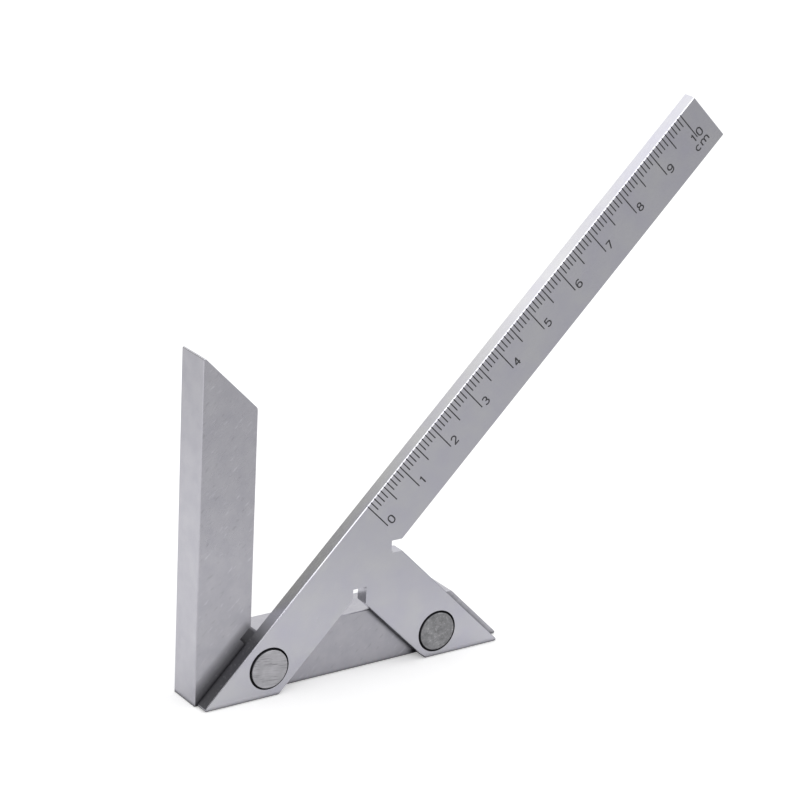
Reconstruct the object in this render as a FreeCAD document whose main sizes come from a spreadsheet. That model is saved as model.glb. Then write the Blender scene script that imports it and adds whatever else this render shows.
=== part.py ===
import FreeCAD, Part
import math
import os
import Sketcher

# A steel centre square: an L-shaped stock whose two equal legs meet at a right angle, and a flat
# graduated blade on its front face whose left edge halves that angle.
# It stands on the outer face of its foot leg. X runs along the foot leg, Z up the other leg, and the
# blade faces -Y. Sketches are drawn from the stock's outer corner, and every piece is then moved
# so that the origin is the middle of the foot leg's outer face.
# All sizes are in millimetres.

SIZES = {
    # Stock
    "leg_length": 71.7,
    "leg_width": 12.2,
    "stock_depth": 8.0,
    "corner_relief": 3.5,
    "shoulder_radius": 1.2,
    # Blade
    "blade_thickness": 3.0,
    "blade_width": 12.2,
    "arm_width": 12.7,
    "arm_inset": 1.3,
    "heel_radius": 0.4,
    "window_relief_width": 3.1,
    "window_relief_height": 3.8,
    "window_relief_shift": 0.6,
    "upper_relief": 2.6,
    # Scale along the blade's left edge
    "scale_start": 51.0,
    "scale_length": 100.0,
    "end_margin": 4.7,
    "long_line": 7.1,
    "middle_line": 4.7,
    "short_line": 2.6,
    "line_width": 0.22,
    "line_depth": 0.1,
    # Pins
    "pin_diameter": 8.0,
    "pin_clearance": 0.02,
    "heel_pin_proud": 0.4,
    "toe_pin_proud": 0.25,
    "pin_rim": 0.15,
    "mouth_width": 0.45,
    "mouth_depth": 0.8,
    "back_countersink": 0.3,
    "heel_pin_along": 14.75,
    "heel_pin_height": 6.1,
    "toe_pin_inset": 17.35,
    "toe_pin_height": 5.45,
    # Broken edges
    "edge_break": 0.15,
    "tip_radius": 0.3,
}

# Places worked out from the sizes. Along the blade they are counted from the stock's outer corner.
LEG_SHORT = "(sizes.leg_length - sizes.leg_width)"
STOCK_FRONT = "(sizes.stock_depth / 2)"
BLADE_FRONT = "(sizes.stock_depth / 2 + sizes.blade_thickness)"
BLADE_LENGTH = "(sizes.scale_start + sizes.scale_length + sizes.end_margin)"
ARM_FAR = "(sizes.leg_length / sqrt(2) - sizes.arm_inset)"
ARM_NEAR = f"({ARM_FAR} - sizes.arm_width)"
TOE_PIN_ALONG = "(sizes.leg_length - sizes.toe_pin_inset)"
HOLE_DIAMETER = "(sizes.pin_diameter + sizes.pin_clearance)"
MOUTH_DIAMETER = "(sizes.pin_diameter + 2 * sizes.mouth_width)"
PIN_HOLES = [
    ("sizes.heel_pin_along", "sizes.heel_pin_height"),
    (TOE_PIN_ALONG, "sizes.toe_pin_height"),
]
BISECTOR_ANGLE = 45.0
START_RING = 20.0

doc = FreeCAD.newDocument("centre_square")
sheet = doc.addObject("Spreadsheet::Sheet", "sizes")
for row, (alias, value) in enumerate(SIZES.items(), start=1):
    sheet.set(f"A{row}", alias)
    sheet.set(f"B{row}", str(value))
    sheet.setAlias(f"B{row}", alias)
doc.recompute()


def new_body(label):
    """Make an empty body, moved so that the middle of the foot leg is at the origin."""
    body = doc.addObject("PartDesign::Body", label)
    body.Label = label
    body.setExpression("Placement.Base.x", "-sizes.leg_length / 2")
    return body


def front_sketch(body, name, forward="0", turned=False):
    """Make a sketch that faces the viewer, a distance forward of the stock's middle plane.

    A turned sketch has its x axis along the blade and its y axis square to it, leftwards.
    """
    plane = [item for item in body.Origin.OriginFeatures if item.Role == "XZ_Plane"][0]
    sketch = body.newObject("Sketcher::SketchObject", name)
    sketch.AttachmentSupport = [(plane, "")]
    sketch.MapMode = "FlatFace"
    angle = BISECTOR_ANGLE if turned else 0.0
    turn = FreeCAD.Rotation(FreeCAD.Vector(0, 0, 1), angle)
    sketch.AttachmentOffset = FreeCAD.Placement(FreeCAD.Vector(0, 0, 0), turn)
    sketch.setExpression("AttachmentOffset.Base.z", forward)
    return sketch


def tie(sketch, geometry, end, across, up):
    """Tie one point of a sketch to its origin by two expressions of the sheet."""
    for kind, axis, expression in (("DistanceX", -2, across), ("DistanceY", -1, up)):
        if expression == "0":
            sketch.addConstraint(Sketcher.Constraint("PointOnObject", geometry, end, axis))
        else:
            index = sketch.addConstraint(Sketcher.Constraint(kind, -1, 1, geometry, end, 1.0))
            sketch.setExpression(f"Constraints[{index}]", expression)


def draw_outline(sketch, corners):
    """Draw a closed outline of straight lines whose corners are pairs of expressions.

    The corners start on a ring, in their order, and the constraints carry them to their places.
    """
    count = len(corners)
    ring = []
    for step in range(count):
        angle = 2 * math.pi * step / count
        ring.append(FreeCAD.Vector(START_RING * math.cos(angle), START_RING * math.sin(angle), 0))
    for step in range(count):
        sketch.addGeometry(Part.LineSegment(ring[step], ring[(step + 1) % count]), False)
    for step in range(count):
        joined = Sketcher.Constraint("Coincident", step, 2, (step + 1) % count, 1)
        sketch.addConstraint(joined)
    for step, (across, up) in enumerate(corners):
        tie(sketch, step, 1, across, up)


def draw_circle(sketch, across, up, diameter):
    """Draw a circle whose centre and diameter are expressions."""
    circle = Part.Circle(FreeCAD.Vector(1, 1, 0), FreeCAD.Vector(0, 0, 1), 1.0)
    geometry = sketch.addGeometry(circle, False)
    tie(sketch, geometry, 3, across, up)
    index = sketch.addConstraint(Sketcher.Constraint("Diameter", geometry, 2.0))
    sketch.setExpression(f"Constraints[{index}]", diameter)


def pad(body, sketch, name, length, midplane=False):
    """Raise a sketch into a solid towards the viewer, or both ways from its plane."""
    feature = body.newObject("PartDesign::Pad", name)
    feature.Profile = sketch
    feature.SideType = "Symmetric" if midplane else "One side"
    feature.setExpression("Length", length)
    doc.recompute()
    return feature


def pocket(body, sketch, name, depth=None):
    """Cut a sketch away from the viewer to a depth, or right through both ways without one."""
    feature = body.newObject("PartDesign::Pocket", name)
    feature.Profile = sketch
    if depth is None:
        feature.SideType = "Symmetric"
        feature.Type = "ThroughAll"
    else:
        feature.setExpression("Length", depth)
    doc.recompute()
    return feature


def edges_where(feature, test):
    """Name the edges of a feature's shape that pass a test."""
    edges = feature.Shape.Edges
    return [f"Edge{number}" for number, edge in enumerate(edges, start=1) if test(edge)]


def dress(body, base, kind, name, test, size):
    """Round or chamfer the edges of a feature that pass a test."""
    feature = body.newObject(f"PartDesign::{kind}", name)
    feature.Base = (base, edges_where(base, test))
    feature.setExpression("Radius" if kind == "Fillet" else "Size", size)
    doc.recompute()
    return feature


def lies_flat(edge):
    """Tell whether an edge lies in a plane parallel to the square's faces."""
    depths = [vertex.Point.y for vertex in edge.Vertexes]
    return max(depths) - min(depths) < 1e-6


def is_upright_at(across, height):
    """Make a test for the edge square to the faces at a place counted from the outer corner."""
    def test(edge):
        point = edge.Vertexes[0].Point
        near = math.hypot(point.x - across, point.z - height) < 1e-3
        return near and not lies_flat(edge)

    return test


def make_stock():
    """Make the stock: two legs with their ends cut at 45 degrees, and a relief in the inner corner."""
    body = new_body("stock")
    outline = front_sketch(body, "stock_outline")
    draw_outline(outline, [
        ("0", "0"),
        ("sizes.leg_length", "0"),
        (LEG_SHORT, "sizes.leg_width"),
        ("sizes.leg_width", "sizes.leg_width"),
        ("sizes.leg_width", LEG_SHORT),
        ("0", "sizes.leg_length"),
    ])
    blank = pad(body, outline, "stock_blank", "sizes.stock_depth", midplane=True)
    post_tip = is_upright_at(0.0, sheet.leg_length)
    foot_tip = is_upright_at(sheet.leg_length, 0.0)
    tips = dress(body, blank, "Fillet", "stock_tips", lambda edge: post_tip(edge) or foot_tip(edge),
                 "sizes.tip_radius")
    short = sheet.leg_length - sheet.leg_width
    post_shoulder = is_upright_at(sheet.leg_width, short)
    foot_shoulder = is_upright_at(short, sheet.leg_width)
    shoulders = dress(body, tips, "Fillet", "stock_shoulders",
                      lambda edge: post_shoulder(edge) or foot_shoulder(edge), "sizes.shoulder_radius")
    dress(body, shoulders, "Chamfer", "stock_broken_edges", lies_flat, "sizes.edge_break")

    reach = "(sizes.corner_relief / sqrt(2))"
    relief = front_sketch(body, "corner_relief_outline")
    draw_outline(relief, [
        (f"sizes.leg_width + {reach}", "sizes.leg_width"),
        ("sizes.leg_width", f"sizes.leg_width + {reach}"),
        (f"sizes.leg_width - {reach}", "sizes.leg_width"),
        ("sizes.leg_width", f"sizes.leg_width - {reach}"),
    ])
    pocket(body, relief, "corner_relief_cut")

    holes = front_sketch(body, "stock_holes")
    for across, up in PIN_HOLES:
        draw_circle(holes, across, up, HOLE_DIAMETER)
    bored = pocket(body, holes, "stock_bores")
    back = sheet.stock_depth / 2

    def is_back_rim(edge):
        return edge.isClosed() and abs(edge.Vertexes[0].Point.y - back) < 1e-6

    dress(body, bored, "Chamfer", "stock_back_countersinks", is_back_rim, "sizes.back_countersink")
    return body


def cut_lines(body, name, length, pitch):
    """Cut one groove at the scale's start, open at the blade's edge, and repeat it along the scale."""
    sketch = front_sketch(body, f"{name}_sketch", BLADE_FRONT, turned=True)
    half = "sizes.line_width / 2"
    draw_outline(sketch, [
        (f"sizes.scale_start - {half}", "sizes.line_width"),
        (f"sizes.scale_start - {half}", f"-{length}"),
        (f"sizes.scale_start + {half}", f"-{length}"),
        (f"sizes.scale_start + {half}", "sizes.line_width"),
    ])
    groove = pocket(body, sketch, f"{name}_groove", "sizes.line_depth")
    pattern = body.newObject("PartDesign::LinearPattern", f"{name}_pattern")
    pattern.Originals = [groove]
    pattern.Direction = (sketch, ["H_Axis"])
    pattern.setExpression("Length", f"floor(sizes.scale_length / {pitch}) * {pitch}")
    pattern.setExpression("Occurrences", f"floor(sizes.scale_length / {pitch}) + 1")
    body.Tip = pattern
    doc.recompute()


def make_blade():
    """Make the blade: a long strip on the bisector, with one arm square to it down to the foot leg."""
    body = new_body("blade")
    outline = front_sketch(body, "blade_outline", STOCK_FRONT, turned=True)
    draw_outline(outline, [
        ("0", "0"),
        (BLADE_LENGTH, "0"),
        (BLADE_LENGTH, "-sizes.blade_width"),
        (ARM_FAR, "-sizes.blade_width"),
        (ARM_FAR, f"-{ARM_FAR}"),
        (ARM_NEAR, f"-{ARM_NEAR}"),
        (ARM_NEAR, "-sizes.blade_width"),
        ("sizes.blade_width", "-sizes.blade_width"),
    ])
    blank = pad(body, outline, "blade_blank", "sizes.blade_thickness")
    heel = dress(body, blank, "Fillet", "blade_heel", is_upright_at(0.0, 0.0),
                 "sizes.heel_radius")
    arm_far = sheet.leg_length / math.sqrt(2) - sheet.arm_inset
    toe = is_upright_at(arm_far * math.sqrt(2), 0.0)
    tip = dress(body, heel, "Fillet", "blade_toe", toe, "sizes.tip_radius")
    dress(body, tip, "Chamfer", "blade_broken_edges", lies_flat, "sizes.edge_break")

    centre_across = f"(({ARM_NEAR} + sizes.blade_width) / sqrt(2) + sizes.window_relief_shift)"
    top = f"(({ARM_NEAR} - sizes.blade_width) / sqrt(2) + sizes.window_relief_width / 2)"
    left = f"{centre_across} - sizes.window_relief_width / 2"
    right = f"{centre_across} + sizes.window_relief_width / 2"
    bottom = f"{top} - sizes.window_relief_height"
    window = front_sketch(body, "window_relief_outline", BLADE_FRONT)
    draw_outline(window, [(left, bottom), (right, bottom), (right, top), (left, top)])
    pocket(body, window, "window_relief_cut", "2 * sizes.blade_thickness")

    across = f"(({ARM_FAR} + sizes.blade_width) / sqrt(2))"
    up = f"(({ARM_FAR} - sizes.blade_width) / sqrt(2))"
    half = "sizes.upper_relief / 2"
    upper = front_sketch(body, "upper_relief_outline", BLADE_FRONT)
    draw_outline(upper, [
        (f"{across} - {half}", f"{up} - {half}"),
        (f"{across} + {half}", f"{up} - {half}"),
        (f"{across} + {half}", f"{up} + {half}"),
        (f"{across} - {half}", f"{up} + {half}"),
    ])
    pocket(body, upper, "upper_relief_cut", "2 * sizes.blade_thickness")

    for name, diameter, depth in (
        ("pin_holes", HOLE_DIAMETER, "2 * sizes.blade_thickness"),
        ("pin_mouths", MOUTH_DIAMETER, "sizes.mouth_depth"),
    ):
        circles = front_sketch(body, f"{name}_sketch", BLADE_FRONT)
        for hole_across, hole_up in PIN_HOLES:
            draw_circle(circles, hole_across, hole_up, diameter)
        pocket(body, circles, name, depth)

    cut_lines(body, "short_lines", "sizes.short_line", 1)
    cut_lines(body, "middle_lines", "sizes.middle_line", 5)
    cut_lines(body, "long_lines", "sizes.long_line", 10)
    return body


def make_pin(label, along, height, proud):
    """Make one pin: it fills the bore through stock and blade, flush behind and proud in front."""
    body = doc.addObject("PartDesign::Body", label)
    body.Label = label
    body.setExpression("Placement.Base.x", f"{along} - sizes.leg_length / 2")
    body.setExpression("Placement.Base.z", height)
    section = front_sketch(body, f"{label}_section", f"-{STOCK_FRONT}")
    draw_circle(section, "0", "0", "sizes.pin_diameter")
    length = f"sizes.stock_depth + sizes.blade_thickness + {proud}"
    shank = pad(body, section, f"{label}_shank", length)
    dress(body, shank, "Fillet", f"{label}_rims", lies_flat, "sizes.pin_rim")
    return body


def check(pieces):
    """Stop if an object of the document failed, or a cut took nothing away."""
    for item in doc.Objects:
        if "Invalid" in item.State or "Error" in item.State:
            raise RuntimeError(f"{item.Name} is {item.State}")
        if item.TypeId in ("PartDesign::Pocket", "PartDesign::LinearPattern", "PartDesign::Chamfer"):
            if item.Shape.Volume >= item.BaseFeature.Shape.Volume:
                raise RuntimeError(f"{item.Name} takes nothing away")
    for piece in pieces:
        shape = piece.Shape
        if shape.isNull() or not shape.isValid() or len(shape.Solids) != 1:
            raise RuntimeError(f"{piece.Label} isn't one valid solid")


pieces = [
    make_stock(),
    make_blade(),
    make_pin("heel_pin", "sizes.heel_pin_along", "sizes.heel_pin_height", "sizes.heel_pin_proud"),
    make_pin("toe_pin", TOE_PIN_ALONG, "sizes.toe_pin_height", "sizes.toe_pin_proud"),
]
doc.recompute()
check(pieces)
os.makedirs("parts", exist_ok=True)
for piece in pieces:
    piece.Shape.exportStep(f"parts/{piece.Label}.step")
    box = piece.Shape.BoundBox
    print(f"{piece.Label}: {piece.Shape.Volume:.1f} mm3,"
          f" x {box.XMin:.2f} to {box.XMax:.2f},"
          f" y {box.YMin:.2f} to {box.YMax:.2f},"
          f" z {box.ZMin:.2f} to {box.ZMax:.2f}")
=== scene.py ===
"""Looks of a steel centre square: ground and filed steel, a filled and numbered scale, and its studio."""

import logging
import math
from dataclasses import dataclass
from enum import Enum

import bpy
from mathutils import Matrix, Vector

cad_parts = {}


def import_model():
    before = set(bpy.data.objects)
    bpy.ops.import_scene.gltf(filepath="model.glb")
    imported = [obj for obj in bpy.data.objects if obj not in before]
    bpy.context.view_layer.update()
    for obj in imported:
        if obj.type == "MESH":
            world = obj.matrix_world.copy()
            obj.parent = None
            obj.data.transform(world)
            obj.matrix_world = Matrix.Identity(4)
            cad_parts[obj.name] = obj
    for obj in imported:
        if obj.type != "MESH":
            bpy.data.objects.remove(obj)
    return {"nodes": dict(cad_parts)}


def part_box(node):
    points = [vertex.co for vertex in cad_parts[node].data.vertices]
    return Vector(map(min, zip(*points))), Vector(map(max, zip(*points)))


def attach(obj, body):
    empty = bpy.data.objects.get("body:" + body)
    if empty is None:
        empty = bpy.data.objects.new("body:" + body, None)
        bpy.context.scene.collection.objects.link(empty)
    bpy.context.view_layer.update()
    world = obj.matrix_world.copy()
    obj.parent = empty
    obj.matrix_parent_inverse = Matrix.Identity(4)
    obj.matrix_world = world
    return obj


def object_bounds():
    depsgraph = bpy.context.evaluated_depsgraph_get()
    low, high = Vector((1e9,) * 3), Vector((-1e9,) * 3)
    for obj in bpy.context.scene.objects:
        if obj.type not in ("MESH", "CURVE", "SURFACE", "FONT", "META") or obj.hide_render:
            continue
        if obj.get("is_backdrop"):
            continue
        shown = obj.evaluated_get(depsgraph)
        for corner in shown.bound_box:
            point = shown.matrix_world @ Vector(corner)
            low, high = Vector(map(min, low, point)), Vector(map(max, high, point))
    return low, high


LOG = logging.getLogger("centre_square")
MM = 0.001
BODY = "root"

# Between these two levels lie nearly all values of a noise.
NOISE_LOW = 0.3
NOISE_HIGH = 0.7

# A curved stroke is walked in steps of about this turn, and closes where its ends are this near.
ARC_STEP_DEG = 15
CLOSED_M = 1e-6


def linear(colour: str) -> tuple[float, float, float, float]:
    """Turn an sRGB hex colour into linear light.

    Args:
        colour: the colour, such as "#C0BFC6".

    Returns:
        Red, green, blue and a full alpha.
    """
    parts = [int(colour[start:start + 2], 16) / 255 for start in (1, 3, 5)]
    light = [part / 12.92 if part <= 0.04045 else ((part + 0.055) / 1.055) ** 2.4 for part in parts]
    return (*light, 1.0)


def add_node(tree: bpy.types.NodeTree, kind: str, settings: dict | None = None,
             sockets: dict | None = None) -> bpy.types.Node:
    """Add one node with its settings, and fill its sockets.

    Args:
        tree: the material's or the world's node tree.
        kind: the node's type name.
        settings: the node's own properties by name.
        sockets: values by socket name or number; an output socket is linked, anything else is set.

    Returns:
        The new node.
    """
    made = tree.nodes.new(kind)
    for name, value in (settings or {}).items():
        setattr(made, name, value)
    for key, value in (sockets or {}).items():
        if isinstance(value, bpy.types.NodeSocket):
            tree.links.new(value, made.inputs[key])
        else:
            made.inputs[key].default_value = value
    return made


def empty_material(name: str) -> tuple[bpy.types.Material, bpy.types.NodeTree]:
    """Make a material whose node tree is still empty.

    Args:
        name: the material's name.

    Returns:
        The material and its node tree.
    """
    material = bpy.data.materials.new(name)
    material.use_nodes = True
    material.node_tree.nodes.clear()
    return material, material.node_tree


def deselect_all() -> None:
    """Leave nothing selected, so that an operator acts only on what comes next."""
    bpy.ops.object.select_all(action="DESELECT")


def in_place(piece: bpy.types.Object, place: Matrix) -> bpy.types.Object:
    """Move an object's mesh to its place, and leave the object at the origin.

    Args:
        piece: a mesh object, modelled at the origin.
        place: where its mesh goes in the row frame.

    Returns:
        The same object.
    """
    piece.data.transform(place @ piece.matrix_world)
    piece.matrix_world = Matrix.Identity(4)
    return piece


def copy_to(master: bpy.types.Object, place: Matrix) -> bpy.types.Object:
    """Copy an object with a mesh of its own to another place.

    Args:
        master: the object that is repeated, modelled at the origin.
        place: where the copy's mesh goes in the row frame.

    Returns:
        The copy.
    """
    twin = master.copy()
    twin.data = master.data.copy()
    bpy.context.scene.collection.objects.link(twin)
    return in_place(twin, place)


def join_all(parts: list[bpy.types.Object], name: str) -> bpy.types.Object:
    """Join objects into one piece.

    Args:
        parts: the mesh objects.
        name: the joined piece's name.

    Returns:
        The joined piece.
    """
    deselect_all()
    for part in parts:
        part.select_set(True)
    bpy.context.view_layer.objects.active = parts[0]
    bpy.ops.object.join()
    parts[0].name = name
    parts[0].data.name = name
    return parts[0]


def hand_over(piece: bpy.types.Object, material: bpy.types.Material) -> None:
    """Dress a new piece and let it ride on the square.

    Args:
        piece: the finished mesh object.
        material: its finish.
    """
    piece.data.materials.clear()
    piece.data.materials.append(material)
    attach(piece, BODY)
    LOG.info("%s: %d faces", piece.name, len(piece.data.polygons))


@dataclass(frozen=True)
class Fade:
    """A stretch along which a tone grows or shrinks from one share to another."""

    start: float
    end: float
    before: float
    after: float


def faded(tree: bpy.types.NodeTree, place: bpy.types.NodeSocket,
          fades: tuple[Fade, ...]) -> bpy.types.NodeSocket:
    """Multiply the tones of several fades along one line.

    Args:
        tree: the material's node tree.
        place: how far along the line a point lies.
        fades: the stretches where the tone changes, none for a full tone all along.

    Returns:
        The tone there, as a share of the full one.
    """
    tone = add_node(tree, "ShaderNodeValue").outputs[0]
    tone.default_value = 1.0
    for fade in fades:
        step = add_node(tree, "ShaderNodeMapRange", None, {
            0: place, 1: fade.start, 2: fade.end, 3: fade.before, 4: fade.after}).outputs[0]
        tone = add_node(tree, "ShaderNodeMath", {"operation": "MULTIPLY"}, {0: tone, 1: step}).outputs[0]
    return tone


@dataclass(frozen=True)
class BladeFace:
    """The blade's front face as a drawing plane that starts at the square's outer corner."""

    corner: Vector
    along: Vector
    across: Vector
    outward: Vector

    def place(self, along_mm: float, across_mm: float) -> Matrix:
        """Give the place of a mark drawn flat with its foot towards the blade's free edge.

        Args:
            along_mm: how far up the scale it lies from the corner.
            across_mm: how far it lies from the graduated edge.

        Returns:
            The matrix from the mark's own plane to the row frame.
        """
        point = self.corner + self.along * along_mm * MM + self.across * across_mm * MM
        turned = Matrix((self.along, -self.across, self.outward)).transposed().to_4x4()
        return Matrix.Translation(point) @ turned


@dataclass(frozen=True)
class Stain:
    """Painted shade on part of the steel, bounded along some directions from the outer corner.

    Small flecks in it are painted thinner.
    """

    corner: Vector
    limits: tuple[tuple[Vector, tuple[Fade, ...]], ...]
    fleck_mm: float = 0.45
    fleck_band: tuple[float, float] = (0.60, 0.72)
    fleck_share: float = 0.85

    def thickness(self, tree: bpy.types.NodeTree, place: bpy.types.NodeSocket) -> bpy.types.NodeSocket:
        """Draw the painted shade.

        Args:
            tree: the material's node tree.
            place: the Object coordinates.

        Returns:
            How much painted shade it lays on the steel, from 0 to its full share.
        """
        offset = add_node(tree, "ShaderNodeVectorMath", {"operation": "SUBTRACT"},
                          {0: place, 1: self.corner}).outputs[0]
        noise = add_node(tree, "ShaderNodeTexNoise", None, {
            "Vector": place, "Scale": 1 / (self.fleck_mm * MM), "Detail": 2.0}).outputs[0]
        thickness = add_node(tree, "ShaderNodeMapRange", None, {
            0: noise, 1: self.fleck_band[0], 2: self.fleck_band[1], 3: 1.0, 4: self.fleck_share}).outputs[0]
        for direction, fades in self.limits:
            reach = add_node(tree, "ShaderNodeVectorMath", {"operation": "DOT_PRODUCT"},
                             {0: offset, 1: direction}).outputs["Value"]
            thickness = add_node(tree, "ShaderNodeMath", {"operation": "MULTIPLY"},
                                 {0: thickness, 1: faded(tree, reach, fades)}).outputs[0]
        return thickness


@dataclass(frozen=True)
class HeelDirt:
    """Painted shade in the corner between the stock's front and the foot of the measuring edge.

    It is black against the blade and in the corner relief, thins out across the stock, and a faint
    grey painted shade darkens the stock's front towards the bottom, near the foot.
    """

    face: BladeFace
    share: float = 0.90
    stock_share: float = 0.78
    # Painted shade: how dark the faint grey is on the stock's front towards the bottom.
    film: float = 0.11

    def on_blade(self) -> tuple[Stain, ...]:
        """Bound the painted shade on the measuring edge, which ends past the stock's inner corner."""
        edge = (Fade(-1 * MM, -0.5 * MM, 0.0, 1.0), Fade(0.02 * MM, 0.06 * MM, 1.0, 0.0))
        return (self._stain(Fade(17 * MM, 25 * MM, self.share, 0.0), edge),)

    def on_stock(self) -> tuple[Stain, ...]:
        """Bound the painted shade beside the blade and in the relief, and the faint painted shade near the
        foot.

        Returns:
            The black painted shade and the faint one.
        """
        beside = (Fade(-3.8 * MM, -1.1 * MM, 0.0, 1.0), Fade(1.9 * MM, 2.2 * MM, 1.0, 0.0))
        # Faint painted shade, darker towards the bottom of the stock's front.
        film = Stain(self.face.corner, (
            (Vector((0, 0, 1)), (Fade(16 * MM, 30 * MM, self.film, 0.0),)),
            (self.face.outward, (Fade(-3.2 * MM, -3.1 * MM, 0.0, 1.0),)),
        ))
        return self._stain(Fade(18.4 * MM, 19.2 * MM, self.stock_share, 0.0), beside), film

    def _stain(self, along: Fade, across: tuple[Fade, ...]) -> Stain:
        """Bound the black painted shade, which never reaches the stock's outer and back faces.

        Args:
            along: where it ends up the blade.
            across: where it starts and ends across the blade.

        Returns:
            The painted shade.
        """
        return Stain(self.face.corner, (
            (self.face.along, (along,)),
            (self.face.across, across),
            (Vector((1, 0, 0)), (Fade(0.05 * MM, 0.15 * MM, 0.0, 1.0),)),
            (self.face.outward, (Fade(-10.5 * MM, -10 * MM, 0.0, 1.0),)),
        ))


@dataclass(frozen=True)
class Grain:
    """The marks that a grinding wheel or a file leaves on a face.

    Real grinding marks are 0.02 to 0.05 mm wide, too fine to show here, so they are drawn
    several times as coarse.
    """

    angle_deg: float
    length_mm: float
    width_mm: float
    depth_mm: float
    contrast: float
    roughness: float


@dataclass(frozen=True)
class Scratches:
    """Stray short scratches from use: dark where they hold old oil and dust, light where they are fresh.

    Real ones are about 0.03 mm wide, too fine to show here, so they are drawn wider. They show
    where the noise behind them falls in its dark or its light band, and sparse moves both bands
    outwards.
    """

    angle_deg: float
    length_mm: float
    width_mm: float
    darkest: float
    lightest: float
    sparse: float = 0.0
    dark_band: tuple[float, float] = (0.28, 0.40)
    light_band: tuple[float, float] = (0.61, 0.73)


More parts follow.
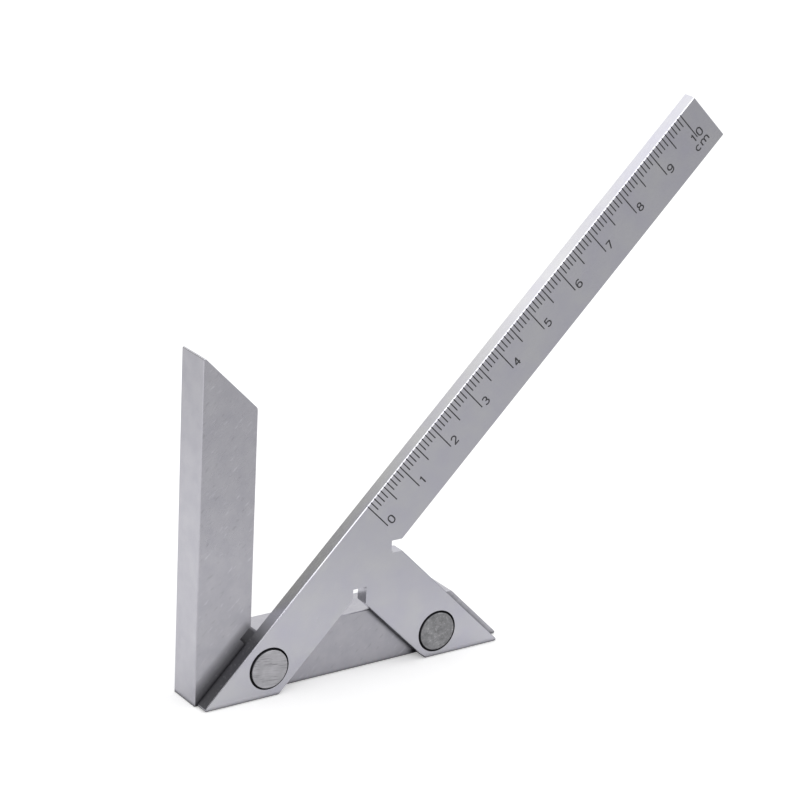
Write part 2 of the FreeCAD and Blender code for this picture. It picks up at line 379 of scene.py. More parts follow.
@dataclass(frozen=True)
class GroundSteel:
    """Tool steel, hardened, surface-ground and left bare.

    The wheel's short parallel marks give the face a soft, streaky sheen; the skin of oil and
    handling gives it slow grey patches; the broken edges are burnished brighter. Painted shade,
    dark, matt and not metallic, darkens the corners and crevices that ambient occlusion finds, and
    the stretches of painted shade given to it.
    """

    name: str
    bright: str
    patch: str
    streak_roughness: float
    mottle_mm: float
    face_grain: Grain
    edge_grain: Grain
    scratches: Scratches
    # Painted shade: how far ambient occlusion looks for the nearby parts that darken a corner or crevice.
    grime_mm: float = 1.5
    burnish: float = 0.2
    # Stretches of painted shade laid over the steel.
    stains: tuple[Stain, ...] = ()
    # The painted shade's dark colour.
    grime: str = "#222127"
    burnished: str = "#DCDCE0"
    # The painted shade's roughness; it is matt and not metallic.
    grime_roughness: float = 0.85
    relief_share: float = 0.5
    wide_facing: float = 0.8
    # The ambient occlusion band over which the painted shade fades out to open steel.
    crevice_sky: tuple[float, float] = (0.5, 0.8)
    edge_radius_mm: float = 0.12
    edge_facing: tuple[float, float] = (0.995, 0.9)
    edge_patch_mm: float = 1.5
    edge_patch_band: tuple[float, float] = (0.35, 0.65)
    least_burnish: float = 0.1

    def build(self) -> bpy.types.Material:
        """Make the material.

        Returns:
            The finished material.
        """
        material, tree = empty_material(self.name)
        coordinates = add_node(tree, "ShaderNodeTexCoord")
        place = coordinates.outputs["Object"]
        is_wide = self._is_wide(tree, coordinates.outputs["Normal"])
        streaks = self._streaks(tree, place, is_wide)
        # Painted shade: crevices and the given stretches turn dark, matt and not metallic.
        unshaded = self._clean(tree, place)
        tone = self._tone(tree, place, is_wide, streaks)
        tone = add_node(tree, "ShaderNodeMix", {"data_type": "RGBA"},
                        {0: unshaded, 6: linear(self.grime), 7: tone}).outputs[2]
        rough = self._by_face(tree, is_wide, self.edge_grain.roughness, self.face_grain.roughness)
        rough = add_node(tree, "ShaderNodeMath", {"operation": "MULTIPLY_ADD"},
                         {0: streaks, 1: self.streak_roughness, 2: rough}).outputs[0]
        rough = add_node(tree, "ShaderNodeMix", None,
                         {0: unshaded, 2: self.grime_roughness, 3: rough}).outputs[0]
        depth = self._by_face(tree, is_wide, self.edge_grain.depth_mm * MM, self.face_grain.depth_mm * MM)
        bump = add_node(tree, "ShaderNodeBump", None,
                        {"Height": streaks, "Distance": depth, "Strength": self.relief_share})
        shader = add_node(tree, "ShaderNodeBsdfPrincipled", None, {
            "Base Color": tone, "Metallic": unshaded, "Roughness": rough, "Normal": bump.outputs["Normal"],
        })
        add_node(tree, "ShaderNodeOutputMaterial", None, {"Surface": shader.outputs[0]})
        return material

    def _is_wide(self, tree: bpy.types.NodeTree, normal: bpy.types.NodeSocket) -> bpy.types.NodeSocket:
        """Tell the wide front and back faces from the narrow ones round the outline.

        Args:
            tree: the material's node tree.
            normal: the surface's direction in the object's own axes.

        Returns:
            1 on a wide face and 0 on a narrow one.
        """
        depth = add_node(tree, "ShaderNodeSeparateXYZ", None, {0: normal}).outputs["Y"]
        depth = add_node(tree, "ShaderNodeMath", {"operation": "ABSOLUTE"}, {0: depth}).outputs[0]
        return add_node(tree, "ShaderNodeMath", {"operation": "GREATER_THAN"},
                        {0: depth, 1: self.wide_facing}).outputs[0]

    def _by_face(self, tree: bpy.types.NodeTree, is_wide: bpy.types.NodeSocket, narrow: float,
                 wide: float) -> bpy.types.NodeSocket:
        """Give one value on the narrow faces and another on the wide ones."""
        return add_node(tree, "ShaderNodeMapRange", None, {0: is_wide, 3: narrow, 4: wide}).outputs[0]

    def _tone(self, tree: bpy.types.NodeTree, place: bpy.types.NodeSocket, is_wide: bpy.types.NodeSocket,
              streaks: bpy.types.NodeSocket) -> bpy.types.NodeSocket:
        """Colour the steel outside its painted shade with its patches, marks, scratches and burnished edges.

        Args:
            tree: the material's node tree.
            place: the Object coordinates.
            is_wide: 1 on the wide faces.
            streaks: the grinding marks from -1 to 1.

        Returns:
            The colour.
        """
        tone = add_node(tree, "ShaderNodeMix", {"data_type": "RGBA"}, {
            0: self._patches(tree, place), 6: linear(self.patch), 7: linear(self.bright)}).outputs[2]
        contrast = self._by_face(tree, is_wide, self.edge_grain.contrast, self.face_grain.contrast)
        share = add_node(tree, "ShaderNodeMath", {"operation": "MULTIPLY_ADD"},
                         {0: streaks, 1: contrast, 2: 1.0}).outputs[0]
        kept = add_node(tree, "ShaderNodeMix", None,
                        {0: is_wide, 2: 1.0, 3: self._scratched(tree, place)}).outputs[0]
        share = add_node(tree, "ShaderNodeMath", {"operation": "MULTIPLY"}, {0: share, 1: kept}).outputs[0]
        tone = add_node(tree, "ShaderNodeVectorMath", {"operation": "SCALE"},
                        {0: tone, "Scale": share}).outputs[0]
        return add_node(tree, "ShaderNodeMix", {"data_type": "RGBA"},
                        {0: self._worn_edges(tree, place), 6: tone, 7: linear(self.burnished)}).outputs[2]

    def _scratched(self, tree: bpy.types.NodeTree, place: bpy.types.NodeSocket) -> bpy.types.NodeSocket:
        """Draw the stray scratches as sparse dark and light strokes.

        Args:
            tree: the material's node tree.
            place: the Object coordinates.

        Returns:
            What share of its light the steel keeps, 1 between the scratches.
        """
        marks = self.scratches
        slanted = add_node(tree, "ShaderNodeMapping", {"vector_type": "TEXTURE"}, {
            "Vector": place, "Rotation": (0, -math.radians(marks.angle_deg), 0),
            "Scale": (marks.length_mm * MM, marks.width_mm * MM, marks.width_mm * MM),
        }).outputs[0]
        noise = add_node(tree, "ShaderNodeTexNoise", None,
                         {"Vector": slanted, "Scale": 1.0, "Detail": 1.0, "Roughness": 0.4}).outputs[0]
        low, high = (bound - marks.sparse for bound in marks.dark_band)
        dark = add_node(tree, "ShaderNodeMapRange", None,
                        {0: noise, 1: low, 2: high, 3: marks.darkest, 4: 1.0}).outputs[0]
        low, high = (bound + marks.sparse for bound in marks.light_band)
        light = add_node(tree, "ShaderNodeMapRange", None,
                         {0: noise, 1: low, 2: high, 3: 1.0, 4: marks.lightest}).outputs[0]
        return add_node(tree, "ShaderNodeMath", {"operation": "MULTIPLY"}, {0: dark, 1: light}).outputs[0]

    def _clean(self, tree: bpy.types.NodeTree, place: bpy.types.NodeSocket) -> bpy.types.NodeSocket:
        """Find where painted shade darkens the steel: in the crevices that ambient occlusion finds, and
        under the stretches of painted shade given to it.

        Args:
            tree: the material's node tree.
            place: the Object coordinates.

        Returns:
            0 in a crevice, less than 1 under a stretch of painted shade and 1 on open steel.
        """
        # Painted shade in the crevices, from ambient occlusion.
        sky = add_node(tree, "ShaderNodeAmbientOcclusion", {"samples": 8},
                       {"Distance": self.grime_mm * MM}).outputs["AO"]
        unshaded = add_node(tree, "ShaderNodeMapRange", None,
                         {0: sky, 1: self.crevice_sky[0], 2: self.crevice_sky[1]}).outputs[0]
        # Painted shade from the given stretches darkens the steel further.
        for painted_shade in self.stains:
            unpainted = add_node(tree, "ShaderNodeMath", {"operation": "SUBTRACT"},
                            {0: 1.0, 1: painted_shade.thickness(tree, place)}).outputs[0]
            unshaded = add_node(tree, "ShaderNodeMath", {"operation": "MULTIPLY"},
                             {0: unshaded, 1: unpainted}).outputs[0]
        return unshaded

    def _streaks(self, tree: bpy.types.NodeTree, place: bpy.types.NodeSocket,
                 is_wide: bpy.types.NodeSocket) -> bpy.types.NodeSocket:
        """Draw the grinding marks: slanted on the wide faces, lengthwise on the narrow ones.

        Args:
            tree: the material's node tree.
            place: the Object coordinates.
            is_wide: 1 on the wide faces.

        Returns:
            The marks' height from -1 to 1.
        """
        grain = self.face_grain
        wide = add_node(tree, "ShaderNodeMapping", {"vector_type": "TEXTURE"}, {
            "Vector": place, "Rotation": (0, -math.radians(grain.angle_deg), 0),
            "Scale": (grain.length_mm * MM, grain.width_mm * MM, grain.width_mm * MM),
        }).outputs[0]
        grain = self.edge_grain
        narrow = add_node(tree, "ShaderNodeMapping", {"vector_type": "TEXTURE"}, {
            "Vector": place, "Scale": (grain.length_mm * MM, grain.width_mm * MM, grain.length_mm * MM),
        }).outputs[0]
        ground = add_node(tree, "ShaderNodeMix", {"data_type": "VECTOR"},
                          {0: is_wide, 4: narrow, 5: wide}).outputs[1]
        noise = add_node(tree, "ShaderNodeTexNoise", None, {
            "Vector": ground, "Scale": 1.0, "Detail": 5.0, "Roughness": 0.65,
        }).outputs[0]
        return add_node(tree, "ShaderNodeMapRange", None,
                        {0: noise, 1: NOISE_LOW, 2: NOISE_HIGH, 3: -1.0, 4: 1.0}).outputs[0]

    def _patches(self, tree: bpy.types.NodeTree, place: bpy.types.NodeSocket) -> bpy.types.NodeSocket:
        """Draw the slow grey patches that handling leaves.

        Args:
            tree: the material's node tree.
            place: the Object coordinates.

        Returns:
            How bright the steel is, from 0 to 1.
        """
        size = self.mottle_mm * MM
        sized = add_node(tree, "ShaderNodeMapping", {"vector_type": "TEXTURE"},
                         {"Vector": place, "Scale": (size, size, size)}).outputs[0]
        noise = add_node(tree, "ShaderNodeTexNoise", None,
                         {"Vector": sized, "Scale": 1.0, "Detail": 4.0, "Roughness": 0.6}).outputs[0]
        return add_node(tree, "ShaderNodeMapRange", None,
                        {0: noise, 1: NOISE_LOW, 2: NOISE_HIGH}).outputs[0]

    def _worn_edges(self, tree: bpy.types.NodeTree, place: bpy.types.NodeSocket) -> bpy.types.NodeSocket:
        """Find the edges that the hand and the work have burnished, in an uneven line.

        Args:
            tree: the material's node tree.
            place: the Object coordinates.

        Returns:
            The wear from 0 to 1.
        """
        geometry = add_node(tree, "ShaderNodeNewGeometry")
        rounded = add_node(tree, "ShaderNodeBevel", {"samples": 6}, {"Radius": self.edge_radius_mm * MM})
        flat = add_node(tree, "ShaderNodeVectorMath", {"operation": "DOT_PRODUCT"},
                        {0: geometry.outputs["True Normal"], 1: rounded.outputs[0]}).outputs["Value"]
        low, high = self.edge_facing
        edge = add_node(tree, "ShaderNodeMapRange", None, {0: flat, 1: low, 2: high}).outputs[0]
        noise = add_node(tree, "ShaderNodeTexNoise", None,
                         {"Vector": place, "Scale": 1 / (self.edge_patch_mm * MM), "Detail": 3.0}).outputs[0]
        low, high = self.edge_patch_band
        uneven = add_node(tree, "ShaderNodeMapRange", None,
                          {0: noise, 1: low, 2: high, 3: self.least_burnish, 4: self.burnish}).outputs[0]
        return add_node(tree, "ShaderNodeMath", {"operation": "MULTIPLY"}, {0: edge, 1: uneven}).outputs[0]


@dataclass(frozen=True)
class EngravingPaint:
    """Black enamel rubbed into engraved lines and wiped level.

    It dries matt and nearly black, slightly greyer where the wiping thinned it.
    """

    name: str = "black_engraving_enamel"
    full: str = "#28282C"
    wiped: str = "#48484C"
    patch_mm: float = 0.6
    patch_band: tuple[float, float] = (0.4, 0.75)
    roughness: tuple[float, float] = (0.5, 0.75)

    def build(self) -> bpy.types.Material:
        """Make the material.

        Returns:
            The finished material.
        """
        material, tree = empty_material(self.name)
        place = add_node(tree, "ShaderNodeTexCoord").outputs["Object"]
        noise = add_node(tree, "ShaderNodeTexNoise", None,
                         {"Vector": place, "Scale": 1 / (self.patch_mm * MM), "Detail": 3.0}).outputs[0]
        low, high = self.patch_band
        share = add_node(tree, "ShaderNodeMapRange", None, {0: noise, 1: low, 2: high}).outputs[0]
        tone = add_node(tree, "ShaderNodeMix", {"data_type": "RGBA"},
                        {0: share, 6: linear(self.full), 7: linear(self.wiped)}).outputs[2]
        low, high = self.roughness
        rough = add_node(tree, "ShaderNodeMapRange", None, {0: noise, 3: low, 4: high}).outputs[0]
        shader = add_node(tree, "ShaderNodeBsdfPrincipled", None, {
            "Base Color": tone, "Roughness": rough, "IOR": 1.5, "Metallic": 0.0,
        })
        add_node(tree, "ShaderNodeOutputMaterial", None, {"Surface": shader.outputs[0]})
        return material


@dataclass(frozen=True)
class Arc:
    """A stretch of an ellipse in a numeral's unit square, counted from its right-hand end."""

    centre: tuple[float, float]
    radii: tuple[float, float]
    start_deg: float
    end_deg: float

    def points(self) -> list[tuple[float, float]]:
        """Walk the arc in short steps.

        Returns:
            The points from its start to its end.
        """
        steps = max(2, round(abs(self.end_deg - self.start_deg) / ARC_STEP_DEG))
        turns = [math.radians(self.start_deg + (self.end_deg - self.start_deg) * step / steps)
                 for step in range(steps + 1)]
        return [(self.centre[0] + self.radii[0] * math.cos(turn),
                 self.centre[1] + self.radii[1] * math.sin(turn)) for turn in turns]


Stroke = tuple[Arc | tuple[float, float], ...]

SIX: Stroke = (Arc((0.37, 0.62), (0.37, 0.38), 48, 180), Arc((0.31, 0.31), (0.31, 0.31), 180, 540))

GLYPHS: dict[str, tuple[Stroke, ...]] = {
    "0": ((Arc((0.31, 0.66), (0.31, 0.34), 0, 180), Arc((0.31, 0.34), (0.31, 0.34), 180, 360),
           (0.62, 0.66)),),
    "1": (((-0.22, 0.80), (0.0, 1.0), (0.0, 0.0)),),
    "2": ((Arc((0.31, 0.70), (0.30, 0.30), 165, -35), (0.0, 0.0), (0.62, 0.0)),),
    "3": ((Arc((0.29, 0.75), (0.26, 0.25), 155, -90), Arc((0.29, 0.26), (0.31, 0.26), 90, -155)),),
    "4": (((0.47, 0.0), (0.47, 1.0), (0.0, 0.30), (0.66, 0.30)),),
    "5": (((0.57, 1.0), (0.10, 1.0), (0.05, 0.54), Arc((0.29, 0.32), (0.32, 0.32), 125, -150)),),
    "6": (SIX,),
    "7": (((0.0, 1.0), (0.62, 1.0), (0.20, 0.0)),),
    "8": ((Arc((0.31, 0.76), (0.25, 0.24), -90, 270),), (Arc((0.31, 0.27), (0.31, 0.27), 90, 450),)),
    "9": (SIX,),
    "c": ((Arc((0.32, 0.33), (0.32, 0.33), 50, 310),),),
    "m": (((0.0, 0.0), (0.0, 0.66)), (Arc((0.27, 0.40), (0.27, 0.26), 180, 0), (0.54, 0.0)),
          (Arc((0.81, 0.40), (0.27, 0.26), 180, 0), (1.08, 0.0))),
}

# A one is centred on its stem, and a nine is a six turned half round.
STEM_CENTRED = "1"
TURNED_ROUND = "9"


@dataclass(frozen=True)
class Engraver:
    """A pantograph's round-nosed cutter, whose strokes are then filled with paint.

    The paint rises over the face by a share of the stroke's half width. Runs are given in heights
    of a numeral.
    """

    height_mm: float = 1.82
    stroke_mm: float = 0.32
    paint_rise: float = 0.10
    corner_run: float = 0.06
    short_run: float = 0.3

    def middle_of(self, glyph: str) -> float:
        """Find a glyph's middle: half-way between its outer strokes, or its stem.

        Args:
            glyph: a key of GLYPHS.

        Returns:
            The middle's place along the line, in heights of a numeral.
        """
        spots = [spot for stroke in GLYPHS[glyph] for spot in self._route(stroke)]
        if glyph == STEM_CENTRED:
            return spots[-1][0]
        return (max(spot[0] for spot in spots) + min(spot[0] for spot in spots)) / 2

    def cut(self, glyph: str, name: str) -> bpy.types.Object:
        """Model one glyph flat at the origin, centred, as a low ridge of paint in its groove.

        Args:
            glyph: a key of GLYPHS.
            name: the object's name.

        Returns:
            The mesh object.
        """
        middle = self.middle_of(glyph)
        rows = []
        for stroke in GLYPHS[glyph]:
            spots = [(x - middle, y - 0.5) for x, y in self._route(stroke)]
            if glyph == TURNED_ROUND:
                spots = [(-x, -y) for x, y in spots]
            rows.append([Vector((x, y, 0)) * self.height_mm * MM for x, y in spots])
        deselect_all()
        bpy.ops.curve.primitive_bezier_curve_add()
        line = bpy.context.object
        line.name = name
        line.data.splines.clear()
        for row in rows:
            closed = (row[0] - row[-1]).length < CLOSED_M
            row = row[:-1] if closed else row
            spline = line.data.splines.new("POLY")
            spline.points.add(len(row) - 1)
            spline.use_cyclic_u = closed
            for point, spot in zip(spline.points, row):
                point.co = (*spot, 1.0)
        line.data.bevel_depth = self.stroke_mm / 2 * MM
        line.data.bevel_resolution = 2
        line.data.use_fill_caps = True
        bpy.ops.object.convert(target="MESH")
        flat = bpy.context.object
        flat.data.transform(Matrix.Diagonal((1, 1, self.paint_rise, 1)))
        bpy.ops.object.shade_smooth_by_angle(angle=math.radians(60))
        return flat

    def _route(self, stroke: Stroke) -> list[tuple[float, float]]:
        """List the points of one stroke, its arcs walked in short steps.

        A long straight run gets a point near each of its ends, because a curve's tube narrows at a
        sharp corner all the way to the next point.

        Args:
            stroke: the arcs and corners that it goes through.

        Returns:
            The points from its start to its end.
        """
        spots: list[tuple[float, float]] = []
        for step in stroke:
            spots.extend(step.points() if isinstance(step, Arc) else [step])
        route = spots[:1]
        for before, after in zip(spots, spots[1:]):
            length = math.dist(before, after)
            if length > self.short_run:
                near = self.corner_run / length
                for share in (near, 1 - near):
                    route.append(tuple(a + (b - a) * share for a, b in zip(before, after)))
            if length > 0:
                route.append(after)
        return route


class Mark(Enum):
    """The scale's three kinds of line, by their length in millimetres."""

    MILLIMETRE = 2.6
    HALF_CENTIMETRE = 4.7
    CENTIMETRE = 7.1

    @staticmethod
    def at(millimetre: int) -> "Mark":
        """Tell which kind of line stands at a millimetre of the scale.

        Args:
            millimetre: how far up the scale the line stands.

        Returns:
            Its kind.
        """
        if millimetre % 10 == 0:
            return Mark.CENTIMETRE
        return Mark.MILLIMETRE if millimetre % 5 else Mark.HALF_CENTIMETRE


@dataclass(frozen=True)
class Pair:
    """Two glyphs side by side, and where their middle lies from the scale's last line."""

    glyphs: str
    beside_mm: float
    across_mm: float
    pitch_mm: float


@dataclass
class Scale:
    """The blade's scale: paint in its engraved lines, and its numerals from 0 to 10 with cm.

    The paint is smeared a little past each groove and stands a hair over the face. Inside a rim it
    sinks by a share of that, as paint does when it dries.
    """

    face: BladeFace
    start_mm: float = 51.0
    length_mm: int = 100
    line_width_mm: float = 0.25
    groove_depth_mm: float = 0.1
    smear_mm: float = 0.006
    rim_share: float = 0.3
    sink_share: float = 0.5
    edge_gap_mm: float = 0.30
    numeral_beside_mm: float = 1.46
    numeral_across_mm: float = 6.76
    ten: Pair = Pair("10", 0.17, 6.58, 1.76)
    unit: Pair = Pair("cm", -0.25, 8.80, 2.15)
    slot: str = "blade_steel"

    def build(self, paint: bpy.types.Material, engraver: Engraver) -> None:
        """Model and dress every line and numeral.

        Args:
            paint: the engraving paint.
            engraver: the cutter that shapes the numerals.
        """
        for mark in Mark:
            hand_over(self._lines(mark), paint)
        for centimetre in range(self.length_mm // 10):
            along = self.start_mm + 10 * centimetre + self.numeral_beside_mm
            glyph = engraver.cut(str(centimetre), f"numeral_{centimetre}")
            in_place(glyph, self.face.place(along, self.numeral_across_mm))
            hand_over(glyph, paint)
        self._word(self.ten, "numeral_10", paint, engraver)
        self._word(self.unit, "unit_cm", paint, engraver)

    def _lines(self, mark: Mark) -> bpy.types.Object:
        """Model one line's paint, and repeat it wherever the scale has that kind of line.

        Args:
            mark: the kind of line.

        Returns:
            All lines of that kind as one piece.
        """
        length = mark.value - self.edge_gap_mm
        depth = self.groove_depth_mm + self.smear_mm
        deselect_all()
        bpy.ops.mesh.primitive_cube_add(
            size=1, location=(0, -(self.edge_gap_mm + length / 2) * MM, (self.smear_mm - depth / 2) * MM),
            scale=(self.line_width_mm * MM, length * MM, depth * MM))
        master = bpy.context.object
        bpy.ops.object.transform_apply(location=True, rotation=True, scale=True)
        bpy.ops.object.mode_set(mode="EDIT")
        bpy.ops.mesh.select_mode(type="FACE")
        bpy.ops.mesh.select_all(action="DESELECT")
        bpy.ops.object.mode_set(mode="OBJECT")
        for face in master.data.polygons:
            face.select = face.normal.z > 0.9
        bpy.ops.object.mode_set(mode="EDIT")
        bpy.ops.mesh.inset(thickness=self.line_width_mm * self.rim_share * MM)
        bpy.ops.transform.translate(value=(0, 0, -self.smear_mm * self.sink_share * MM))
        bpy.ops.object.mode_set(mode="OBJECT")
        spots = [spot for spot in range(self.length_mm + 1) if Mark.at(spot) is mark]
        lines = [copy_to(master, self.face.place(self.start_mm + spot, 0.0)) for spot in spots]
        bpy.data.objects.remove(master)
        return join_all(lines, f"{mark.name.lower()}_lines")

    def _word(self, pair: Pair, name: str, paint: bpy.types.Material, engraver: Engraver) -> None:
        """Engrave two glyphs at the scale's end, side by side, as one piece.

        Args:
            pair: the glyphs and their place.
            name: the piece's name.
            paint: the engraving paint.
            engraver: the cutter that shapes them.
        """
        middle = self.start_mm + self.length_mm + pair.beside_mm
        parts = []
        for index, glyph in enumerate(pair.glyphs):
            along = middle + (index - 0.5) * pair.pitch_mm
            cut = engraver.cut(glyph, f"{name}_{index}")
            parts.append(in_place(cut, self.face.place(along, pair.across_mm)))
        hand_over(join_all(parts, name), paint)


@dataclass
class Stock:
    """The L-shaped stock: one piece of ground steel that lies against the work."""

    node: bpy.types.Object
    dirt: HeelDirt

    def dress(self) -> None:
        """Give it its finish."""
        finish = GroundSteel(
            name="ground_tool_steel", bright="#BFBEC4", patch="#B4B3BB", streak_roughness=0.015,
            # Painted shade: black in the corner beside the blade's foot and in the relief, faint near the
            # foot.
            mottle_mm=4.0, stains=self.dirt.on_stock(),
            face_grain=Grain(angle_deg=46, length_mm=2.0, width_mm=0.20, depth_mm=0.0004,
                             contrast=0.008, roughness=0.28),
            edge_grain=Grain(angle_deg=0, length_mm=4.0, width_mm=0.12, depth_mm=0.0002,
                             contrast=0.008, roughness=0.26),
            scratches=Scratches(angle_deg=42, length_mm=2.0, width_mm=0.55, darkest=0.86, lightest=1.17,
                                sparse=0.06))
        self.node.material_slots[0].material = finish.build()
        LOG.info("%s: %s", self.node.name, finish.name)


@dataclass
class Blade:
    """The blade: a satin-ground plate with the scale along its measuring edge."""

    node: bpy.types.Object
    dirt: HeelDirt

    def dress(self) -> None:
        """Give it its finish."""
        finish = GroundSteel(
            name="satin_ground_steel", bright="#C6C6CA", patch="#BEBDC8", streak_roughness=0.015,
            # Painted shade: black along the foot of the measuring edge.
            mottle_mm=7.0, burnish=0.08, stains=self.dirt.on_blade(),
            face_grain=Grain(angle_deg=45, length_mm=4.0, width_mm=0.12, depth_mm=0.0002,
                             contrast=0.010, roughness=0.26),
            edge_grain=Grain(angle_deg=0, length_mm=1.2, width_mm=0.30, depth_mm=0.0005,
                             contrast=0.05, roughness=0.16),
            scratches=Scratches(angle_deg=38, length_mm=2.0, width_mm=0.2, darkest=0.97, lightest=1.02))
        self.node.material_slots[0].material = finish.build()
        LOG.info("%s: %s", self.node.name, finish.name)


@dataclass
class Pin:
    """One of the two pins, filed off just proud of the blade."""

    node: bpy.types.Object
    bright: str
    patch: str
    mottle_mm: float
    file_angle_deg: float
    scratches: Scratches

    def dress(self) -> None:
        """Give it its finish."""
        finish = GroundSteel(
            name=f"filed_{self.node.name}_steel", bright=self.bright, patch=self.patch,
            # Painted shade: ambient occlusion darkens round the pin out to this reach.
            streak_roughness=0.06, mottle_mm=self.mottle_mm, grime_mm=2.2, scratches=self.scratches,
            face_grain=Grain(angle_deg=self.file_angle_deg, length_mm=2.5, width_mm=0.2, depth_mm=0.0020,
                             contrast=0.04, roughness=0.40),
            edge_grain=Grain(angle_deg=0, length_mm=1.0, width_mm=0.2, depth_mm=0.0020,
                             contrast=0.04, roughness=0.40))
        self.node.material_slots[0].material = finish.build()
        LOG.info("%s: %s", self.node.name, finish.name)


@dataclass(frozen=True)
class Softbox:
    """A rectangular soft lamp that faces the object."""

    name: str
    direction: tuple[float, float, float]
    distance_m: float
    size_m: tuple[float, float]
    watts: float


@dataclass(frozen=True)
class Flag:
    """A grey card that only the steel's reflections see, as a studio sets up beside bright metal.

    Its fades run from its lower edge, 0, to its upper edge, 1.
    """

    name: str
    direction: tuple[float, float, float]
    distance_m: float
    size_m: tuple[float, float]
    grey: str
    fades: tuple[Fade, ...] = ()


@dataclass
class Studio:
    """A plain pale table, soft lamps, grey cards and a white room.

    The table's fades run in metres from the object towards the front right, where the square's
    front faces mirror it.
    """

    aim: Vector
    floor_radius_m: float = 4.0
    floor_drop_m: float = 0.0001
    floor_paper: str = "#F0F0F0"
    room_light: float = 0.80
    floor_glow: float = 0.30
    towards_front_right: tuple[float, float, float] = (0.62, -0.78, 0.0)
    floor_fades: tuple[Fade, ...] = (
        Fade(-0.200, -0.140, 0.84, 1.0), Fade(-0.180, -0.100, 1.0, 1.08),
        Fade(-0.060, -0.020, 1.0, 0.925), Fade(0.022, 0.075, 1.0, 0.74),
        Fade(0.075, 0.210, 1.0, 0.85), Fade(0.330, 0.500, 1.0, 0.80))
    softboxes: tuple[Softbox, ...] = (
        Softbox("key_softbox", (-0.401, -0.617, 0.677), 1.0, (0.80, 0.345), 1.45),
        Softbox("back_softbox", (-0.25, 0.62, 0.745), 1.0, (0.80, 0.46), 0.53),
        Softbox("side_softbox", (0.60, -0.10, 0.80), 1.3, (0.6, 0.5), 2.0),
    )
    flags: tuple[Flag, ...] = (
        Flag("camera_flag", (-0.56, -0.80, 0.155), 0.8, (1.20, 0.67), "#58585A"),
        Flag("left_flag", (-0.4205, 0.826, 0.3746), 0.9, (0.75, 0.56), "#A4A4A0",
             (Fade(0.05, 0.35, 2.4, 1.0), Fade(0.70, 0.80, 1.0, 2.8), Fade(0.88, 0.93, 1.0, 2.1),
              Fade(0.93, 0.97, 1.0, 0.52))),
        Flag("right_flag", (1.0, 0.05, 0.10), 0.8, (0.5, 0.40), "#CFCFD1"),
    )

    def build(self) -> None:
        """Set up the table, the lamps, the cards and the room."""
        self._floor()
        for softbox in self.softboxes:
            self._lamp(softbox)
        for flag in self.flags:
            self._card(flag)
        self._room()

    def _seen_directly(self, tree: bpy.types.NodeTree) -> bpy.types.NodeSocket:
        """Tell the rays that show a backdrop, in view, in a reflection or through glass.

        Args:
            tree: the node tree that needs to know.

        Returns:
            1 for such a ray and 0 for light that falls on the object.
        """
        path = add_node(tree, "ShaderNodeLightPath")
        seen = path.outputs["Is Camera Ray"]
        for kind in ("Is Glossy Ray", "Is Transmission Ray"):
            seen = add_node(tree, "ShaderNodeMath", {"operation": "MAXIMUM"},
                            {0: seen, 1: path.outputs[kind]}).outputs[0]
        return seen

    def _room(self) -> None:
        """Make the white room: plainly white to look at, softer as a light."""
        world = bpy.data.worlds.new("white_room")
        bpy.context.scene.world = world
        world.use_nodes = True
        tree = world.node_tree
        tree.nodes.clear()
        strength = add_node(tree, "ShaderNodeMapRange", None,
                            {0: self._seen_directly(tree), 3: self.room_light, 4: 1.0}).outputs[0]
        shine = add_node(tree, "ShaderNodeBackground", None,
                         {"Color": linear("#FFFFFF"), "Strength": strength})
        add_node(tree, "ShaderNodeOutputWorld", None, {"Surface": shine.outputs[0]})

    def _floor(self) -> None:
        """Make the pale table top, which keeps the object's soft shadow."""
        deselect_all()
        bpy.ops.mesh.primitive_circle_add(
            vertices=96, radius=self.floor_radius_m, fill_type="NGON", location=(0, 0, -self.floor_drop_m))
        floor = bpy.context.object
        floor.name = "table_top"
        bpy.ops.object.transform_apply(location=True, rotation=True, scale=True)
        material, tree = empty_material("white_card_table")
        place = add_node(tree, "ShaderNodeTexCoord").outputs["Object"]
        path = add_node(tree, "ShaderNodeLightPath")
        away = add_node(tree, "ShaderNodeVectorMath", {"operation": "DOT_PRODUCT"},
                        {0: place, 1: self.towards_front_right}).outputs["Value"]
        falloff = faded(tree, away, self.floor_fades)
        paper = add_node(tree, "ShaderNodeBsdfDiffuse", None, {"Color": linear(self.floor_paper)}).outputs[0]
        glow = add_node(tree, "ShaderNodeEmission", None, {"Strength": self.floor_glow}).outputs[0]
        lit = add_node(tree, "ShaderNodeAddShader", None, {0: paper, 1: glow}).outputs[0]
        shown = add_node(tree, "ShaderNodeMixShader", None,
                         {0: path.outputs["Is Camera Ray"], 1: paper, 2: lit}).outputs[0]
        mirrored = add_node(tree, "ShaderNodeBsdfDiffuse", None, {"Color": falloff}).outputs[0]
        shown = add_node(tree, "ShaderNodeMixShader", None,
                         {0: path.outputs["Is Glossy Ray"], 1: shown, 2: mirrored}).outputs[0]
        add_node(tree, "ShaderNodeOutputMaterial", None, {"Surface": shown})
        floor.data.materials.append(material)
        floor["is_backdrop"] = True

    def _facing(self, direction: tuple[float, float, float], distance_m: float) -> Matrix:
        """Place something round the object so that its own +Z looks at it.

        Args:
            direction: from the object towards the thing.
            distance_m: how far away it stands.

        Returns:
            Its place and turn.
        """
        ray = Vector(direction).normalized()
        turn = (-ray).to_track_quat("Z", "Y").to_matrix().to_4x4()
        return Matrix.Translation(self.aim + ray * distance_m) @ turn

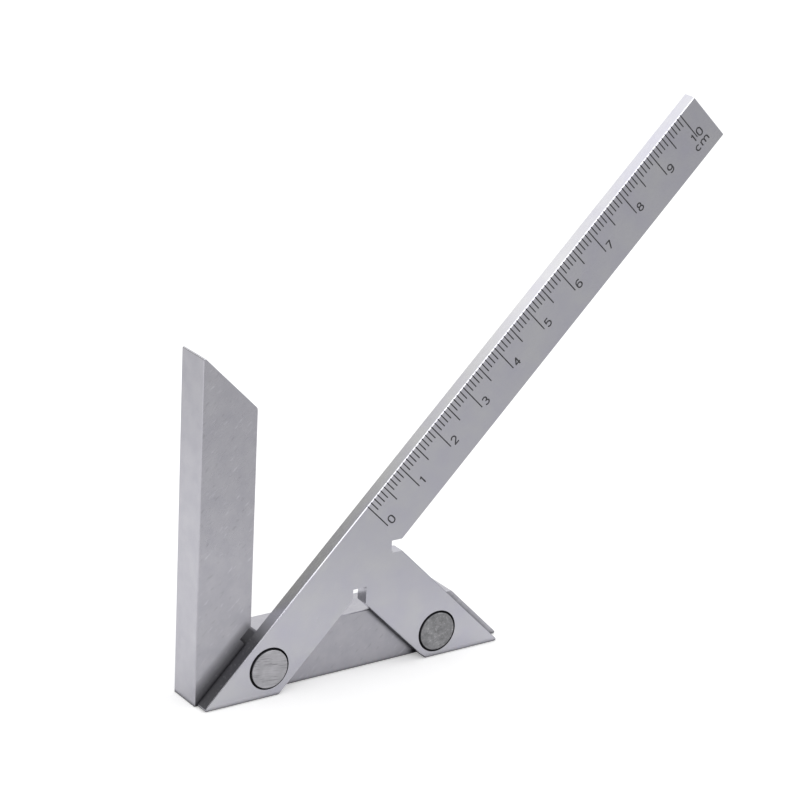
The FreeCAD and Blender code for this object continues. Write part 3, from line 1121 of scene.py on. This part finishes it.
    def _lamp(self, softbox: Softbox) -> None:
        """Set up one softbox.

        Args:
            softbox: its place, size and power.
        """
        light = bpy.data.lights.new(softbox.name, "AREA")
        light.shape = "RECTANGLE"
        light.size, light.size_y = softbox.size_m
        light.energy = softbox.watts
        lamp = bpy.data.objects.new(softbox.name, light)
        bpy.context.scene.collection.objects.link(lamp)
        facing = self._facing(softbox.direction, softbox.distance_m)
        lamp.matrix_world = facing @ Matrix.Rotation(math.pi, 4, "X")

    def _card(self, flag: Flag) -> None:
        """Set up one grey card that only reflections see.

        Args:
            flag: its place, size and greys.
        """
        deselect_all()
        bpy.ops.mesh.primitive_plane_add(size=1)
        card = bpy.context.object
        card.name = flag.name
        size = Matrix.Diagonal((*flag.size_m, 1, 1))
        in_place(card, self._facing(flag.direction, flag.distance_m) @ size)
        material, tree = empty_material(f"{flag.name}_felt")
        spot = add_node(tree, "ShaderNodeTexCoord").outputs["UV"]
        height = add_node(tree, "ShaderNodeSeparateXYZ", None, {0: spot}).outputs["Y"]
        shine = add_node(tree, "ShaderNodeEmission", None, {
            "Color": linear(flag.grey), "Strength": faded(tree, height, flag.fades)})
        add_node(tree, "ShaderNodeOutputMaterial", None, {"Surface": shine.outputs[0]})
        card.data.materials.append(material)
        card.visible_camera = False
        card.visible_diffuse = False
        card.visible_shadow = False
        card.visible_transmission = False
        card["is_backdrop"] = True


@dataclass(frozen=True)
class Viewpoint:
    """The photograph's camera, from a least-squares fit to the scale's lines and the edges."""

    eye_mm: tuple[float, float, float] = (-297.485, -441.235, 254.363)
    aim_mm: tuple[float, float, float] = (6.579, -7.0, 57.116)
    roll_deg: float = 2.936
    lens_mm: float = 131.915
    sensor_mm: float = 36.0

    def build(self) -> None:
        """Make the camera and look through it."""
        data = bpy.data.cameras.new("photograph_camera")
        data.lens = self.lens_mm
        data.sensor_width = self.sensor_mm
        camera = bpy.data.objects.new("photograph_camera", data)
        bpy.context.scene.collection.objects.link(camera)
        eye = Vector(self.eye_mm) * MM
        look = (Vector(self.aim_mm) * MM - eye).to_track_quat("-Z", "Y").to_matrix().to_4x4()
        roll = Matrix.Rotation(math.radians(self.roll_deg), 4, "Z")
        camera.matrix_world = Matrix.Translation(eye) @ look @ roll
        data.clip_start = 0.01
        data.clip_end = 20.0
        bpy.context.scene.camera = camera


def main() -> None:
    """Build the square's looks in order: stock, blade, scale, pins, studio and camera."""
    logging.basicConfig(level=logging.INFO, format="%(name)s: %(message)s")
    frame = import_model()
    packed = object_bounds()
    nodes = frame["nodes"]
    bpy.context.scene.view_settings.view_transform = "Standard"

    corner = Vector((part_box("stock")[0].x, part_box("blade")[0].y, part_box("stock")[0].z))
    face = BladeFace(corner=corner, along=Vector((1, 0, 1)).normalized(),
                     across=Vector((1, 0, -1)).normalized(), outward=Vector((0, -1, 0)))
    # Painted shade at the heel corner, laid on the stock and on the blade.
    Stock(nodes["stock"], HeelDirt(face)).dress()
    Blade(nodes["blade"], HeelDirt(face)).dress()
    Scale(face).build(EngravingPaint().build(), Engraver())
    heel_marks = Scratches(angle_deg=-6, length_mm=2.8, width_mm=0.17, darkest=0.60, lightest=1.16)
    Pin(nodes["heel_pin"], bright="#B9B8BC", patch="#A8A7AB", mottle_mm=2.2, file_angle_deg=-6,
        scratches=heel_marks).dress()
    toe_marks = Scratches(angle_deg=30, length_mm=0.45, width_mm=0.28, darkest=0.80, lightest=1.60)
    Pin(nodes["toe_pin"], bright="#9E9EA0", patch="#7A7A7C", mottle_mm=1.3, file_angle_deg=75,
        scratches=toe_marks).dress()

    low, high = packed
    Studio(aim=(low + high) / 2).build()
    Viewpoint().build()


if __name__ == "__main__":
    main()
